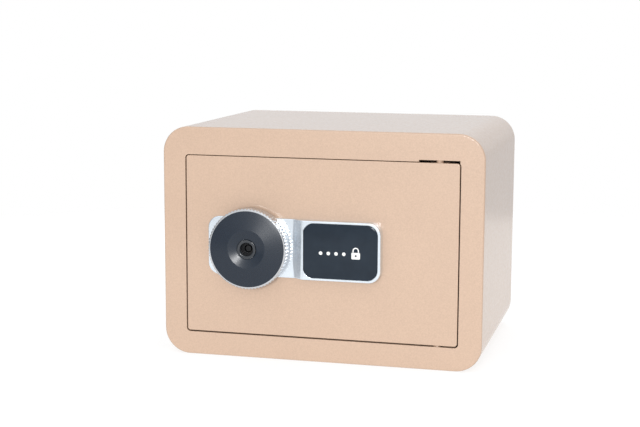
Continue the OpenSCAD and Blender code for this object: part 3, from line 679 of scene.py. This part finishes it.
def circuit():
    """Solder mask over traces that follow a square grid."""
    s = Shader("board_green", IOR=1.5, Coat_Weight=0.4, Coat_Roughness=0.1)
    traces = s.add("ShaderNodeTexBrick", {"Vector": s.place, "Scale": 180.0, "Mortar Size": 0.05,
                                          "Color1": (0, 0, 0, 1), "Color2": (0, 0, 0, 1),
                                          "Mortar": (1, 1, 1, 1)}).outputs["Color"]
    tone = s.span(s.noise(8, 2), 0, 1)
    mask = s.blend(tone, (0.012, 0.10, 0.045), (0.018, 0.13, 0.055))
    s.colour(s.blend(traces, mask, (0.05, 0.22, 0.10)))
    s.roughness(s.span(s.noise(2, 2), 0.25, 0.4))
    s.bump((traces, 0.03))
    return s.material


def winding():
    """Fine copper wire wound side by side round an upright bobbin."""
    s = Shader("coil_copper", Metallic=0.8)
    turns = s.add("ShaderNodeTexWave", {"Vector": s.place, "Scale": 700.0, "Distortion": 0.4},
                  wave_type="BANDS", bands_direction="Z").outputs["Color"]
    s.colour(s.blend(turns, (0.25, 0.09, 0.03), (0.68, 0.30, 0.12)))
    s.roughness(s.span(s.noise(2, 2), 0.25, 0.4))
    s.bump((turns, 0.1))
    return s.material


def cell_sleeve():
    """Printed sleeve of an AA cell: a dark band and a copper band along X."""
    s = Shader("cell_label", Coat_Weight=0.5, Coat_Roughness=0.1)
    along = s.add("ShaderNodeSeparateXYZ", {"Vector": s.place}).outputs["X"]
    band = s.add("ShaderNodeMath", {0: along, 1: 0.062}, operation="GREATER_THAN").outputs[0]
    tone = s.span(s.noise(4, 2), 0, 1)
    dark = s.blend(tone, (0.02, 0.02, 0.022), (0.03, 0.03, 0.033))
    s.colour(s.blend(band, dark, (0.55, 0.33, 0.10)))
    s.roughness(s.span(s.noise(1.5, 2), 0.25, 0.4))
    s.bump((s.noise(6, 2), 0.02))
    return s.material


def make_materials():
    silver = (0.79, 0.85, 0.91)
    steel = (0.66, 0.67, 0.68)
    made = [
        powder_coat("cabinet_paint", (0.51, 0.355, 0.255)),
        plated("zinc_steel", steel, 0.25, 0.42, 0.5, 0.01),
        plated("bolt_steel", (0.78, 0.79, 0.80), 0.12, 0.24, 0.4, 0.006, (0.1, 1, 1)),
        plated("sintered_bronze", (0.52, 0.36, 0.18), 0.38, 0.55, 0.4, 0.02),
        plated("satin_silver", silver, 0.18, 0.26, 0.35, 0.002),
        plated("rim_silver", (0.60, 0.61, 0.63), 0.20, 0.27, 0.3, 0.002),
        moulded("cover_plastic", (0.55, 0.54, 0.53), 0.45, 0.6, 0.5, 0.02),
        moulded("nylon_white", (0.82, 0.82, 0.80), 0.4, 0.55, 0.6, 0.01),
        moulded("parts_black", (0.022, 0.022, 0.024), 0.4, 0.55, 0.4, 0.01),
        # Lock front in the knob's hole: black plastic, made darker and less reflective than the plastic
        # itself, as painted shade standing in for a deeper hole.
        moulded("lock_black", (0.004, 0.0045, 0.006), 0.42, 0.55, 0.5, 0.004, Specular_IOR_Level=0.3),
        moulded("trim_grey", (0.018, 0.022, 0.028), 0.13, 0.2, 0.5, 0.001, Coat_Weight=0.4),
        moulded("lead_red", (0.50, 0.02, 0.02), 0.3, 0.42, 0.5, 0.008),
        moulded("button_red", (0.60, 0.02, 0.02), 0.25, 0.36, 0.5, 0.006),
        moulded("ribbon_grey", (0.42, 0.43, 0.45), 0.35, 0.5, 0.5, 0.008),
        knob_black(), glass_black(), felt(), circuit(), winding(), cell_sleeve(),
    ]
    return {m.name: m for m in made}


def dress_nodes():
    """Gives every CAD node the material of its slot in the record."""
    for part in frame["record"]["subparts"]:
        obj = nodes[part["node"]]
        obj.data.materials.clear()
        obj.data.materials.append(materials[part["material_slot"]])


# Stage and light ------------------------------------------------------------------------------------

def add_floor():
    """A round pale floor that fades into the white surroundings. Its sizes here are in metres."""
    bpy.ops.mesh.primitive_circle_add(vertices=96, radius=2.2, fill_type="NGON", location=(0, 0, -0.0002))
    floor = bpy.context.object
    floor.name = "floor"
    s = Shader("floor", Roughness=0.9, Specular_IOR_Level=0.2, Emission_Color=(1, 1, 1, 1),
               Emission_Strength=0.76)
    tone = s.span(s.noise(80, 2), 0, 1)
    s.colour(s.blend(tone, (0.25, 0.25, 0.25), (0.28, 0.28, 0.28)))
    distance = s.add("ShaderNodeVectorMath", {0: s.place}, operation="LENGTH").outputs["Value"]
    fade = s.add("ShaderNodeMapRange", {"Value": distance, "From Min": 0.9, "From Max": 1.1},
                 interpolation_type="SMOOTHSTEP").outputs[0]
    clear = s.add("ShaderNodeBsdfTransparent").outputs[0]
    mix = s.add("ShaderNodeMixShader", {0: fade, 1: s.surface.outputs[0], 2: clear})
    s.tree.links.new(mix.outputs[0], s.tree.nodes["Material Output"].inputs["Surface"])
    floor.data.materials.append(s.material)


def add_world():
    """A white backdrop, whose light is dimmer from the sides and brighter from overhead."""
    world = bpy.data.worlds.new("studio")
    bpy.context.scene.world = world
    world.use_nodes = True
    tree = world.node_tree
    tree.nodes.clear()

    def add(kind, inputs=None, **settings):
        return add_node(tree, kind, inputs, **settings)

    def smooth(value, start, end, low, high):
        return add("ShaderNodeMapRange", {"Value": value, "From Min": start, "From Max": end,
                                          "To Min": low, "To Max": high},
                   interpolation_type="SMOOTHSTEP").outputs[0]

    def times(first, second):
        return add("ShaderNodeMath", {0: first, 1: second}, operation="MULTIPLY").outputs[0]

    ray = add("ShaderNodeTexCoord").outputs["Generated"]
    parts = add("ShaderNodeSeparateXYZ", {0: ray}).outputs
    ahead = add("ShaderNodeMath", {0: parts["Y"]}, operation="ABSOLUTE").outputs[0]
    aside = smooth(parts["X"], -0.5, 0.5, 0.5, 0.62)
    facing = smooth(ahead, 0.55, 0.95, aside, 0.97)
    horizon = smooth(parts["Z"], -0.06, 0.06, 0.85, 1.0)
    overhead = smooth(parts["Z"], 0.2, 0.7, 1.0, 2.0)
    level = times(times(facing, horizon), overhead)
    towards_right = add("ShaderNodeVectorMath", {0: ray, 1: (0.6, -0.8, 0)}, operation="DOT_PRODUCT")
    warmth = smooth(towards_right.outputs["Value"], -0.5, 0.5, 0.0, 1.0)
    tint = mix_colours(tree, warmth, (0.89, 0.93, 0.97), (0.97, 0.985, 1.0))
    light = add("ShaderNodeBackground", {"Color": tint, "Strength": level}).outputs[0]
    white = add("ShaderNodeBackground", {"Color": (1, 1, 1, 1), "Strength": 1.0}).outputs[0]
    seen = add("ShaderNodeLightPath").outputs["Is Camera Ray"]
    mix = add("ShaderNodeMixShader", {0: seen, 1: light, 2: white}).outputs[0]
    add("ShaderNodeOutputWorld", {"Surface": mix})


def add_softbox(name, azimuth, elevation, distance, width, height, radiance):
    """A rectangular area light, in metres and degrees, which points at the middle of the door."""
    data = bpy.data.lights.new(name, "AREA")
    data.shape = "RECTANGLE"
    data.size = width
    data.size_y = height
    data.energy = radiance * math.pi * width * height
    light = bpy.data.objects.new(name, data)
    bpy.context.scene.collection.objects.link(light)
    look_from(light, Vector((0, -0.12, 0.12)), azimuth, elevation, distance)


add_camera()
materials = make_materials()
dress_nodes()
build_cabinet()
build_door()
build_lock_plate()
build_touch_panel()
build_marks()
build_rim()
build_face()
build_trim_ring()
add_floor()
add_world()
add_softbox("key", azimuth=5, elevation=11.5, distance=1.9, width=0.42, height=0.26, radiance=48.0)
bpy.context.scene.view_settings.view_transform = "Standard"
